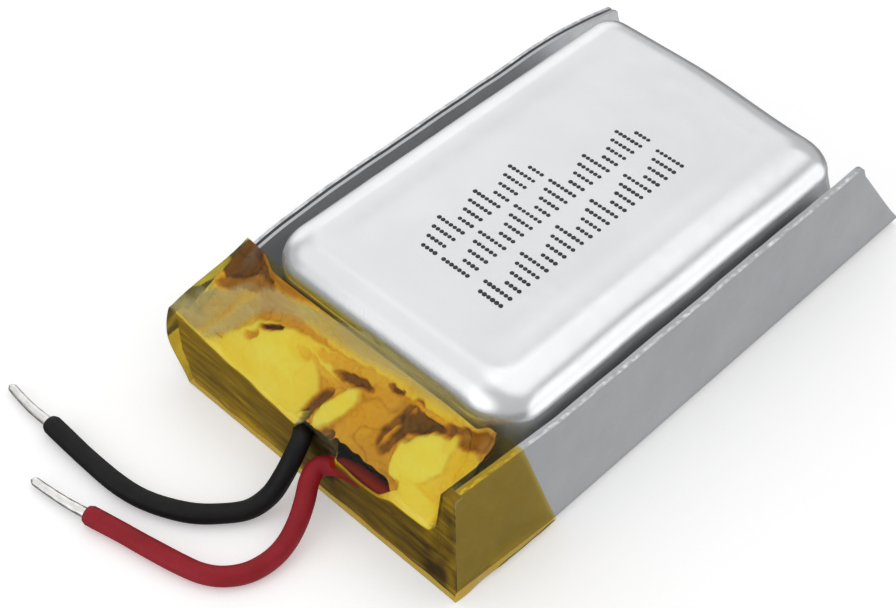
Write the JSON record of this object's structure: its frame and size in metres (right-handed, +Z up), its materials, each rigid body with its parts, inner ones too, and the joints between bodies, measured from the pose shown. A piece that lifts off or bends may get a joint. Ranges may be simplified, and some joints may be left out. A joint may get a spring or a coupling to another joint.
{
  "type": "pouch battery cell",
  "caption": "Small lithium-polymer pouch cell with folded side seals, an amber-taped header over a protection board, and two short insulated leads with bare tinned ends.",
  "frame": {"origin": "bottom centre of the cell, on the surface it lies on, midway along and across it", "axes": "+X across the cell's width, +Y along its length towards the folded end, +Z up through its thickness; the taped header and its leads are at -Y"},
  "size_m": [0.0177, 0.0313, 0.0065],
  "materials": {
    "laminate": "satin aluminium laminate film",
    "graphite": "graphite-coated copper foil",
    "cathode_coat": "oxide-coated aluminium foil",
    "separator": "microporous polyolefin film",
    "green_tape": "polyester tape",
    "aluminium": "plain rolled strip",
    "nickel": "plain nickel strip",
    "sealant": "hot-melt film",
    "paper": "insulating paper",
    "board": "solder mask on glass-epoxy",
    "package": "moulded epoxy",
    "ceramic": "fired ceramic chip",
    "solder": "bright solder",
    "polyimide": "transparent amber polyimide tape",
    "black_pvc": "soft extruded insulation",
    "red_pvc": "soft extruded insulation",
    "tinned_copper": "solder-dipped strands"
  },
  "bodies": {
    "root": {"pouch_back_half": "laminate", "pouch_cup_half": "laminate", "anode": "graphite", "cathode": "cathode_coat", "inner_separator": "separator", "outer_separator": "separator", "winding_end_tape": "green_tape", "positive_tab": "aluminium", "negative_tab": "nickel", "positive_tab_sealant": "sealant", "negative_tab_sealant": "sealant", "positive_weld_pad": "nickel", "negative_weld_pad": "nickel", "board_insulator": "paper", "circuit_board": "board", "dual_mosfet": "package", "protection_ic": "package", "filter_resistor": "package", "sense_resistor": "package", "filter_capacitor": "ceramic", "black_solder_joint": "solder", "red_solder_joint": "solder", "board_tape": "polyimide", "header_tape": "polyimide", "black_lead": "black_pvc", "red_lead": "red_pvc", "black_lead_tinned_end": "tinned_copper", "red_lead_tinned_end": "tinned_copper"}
  },
  "joints": []
}
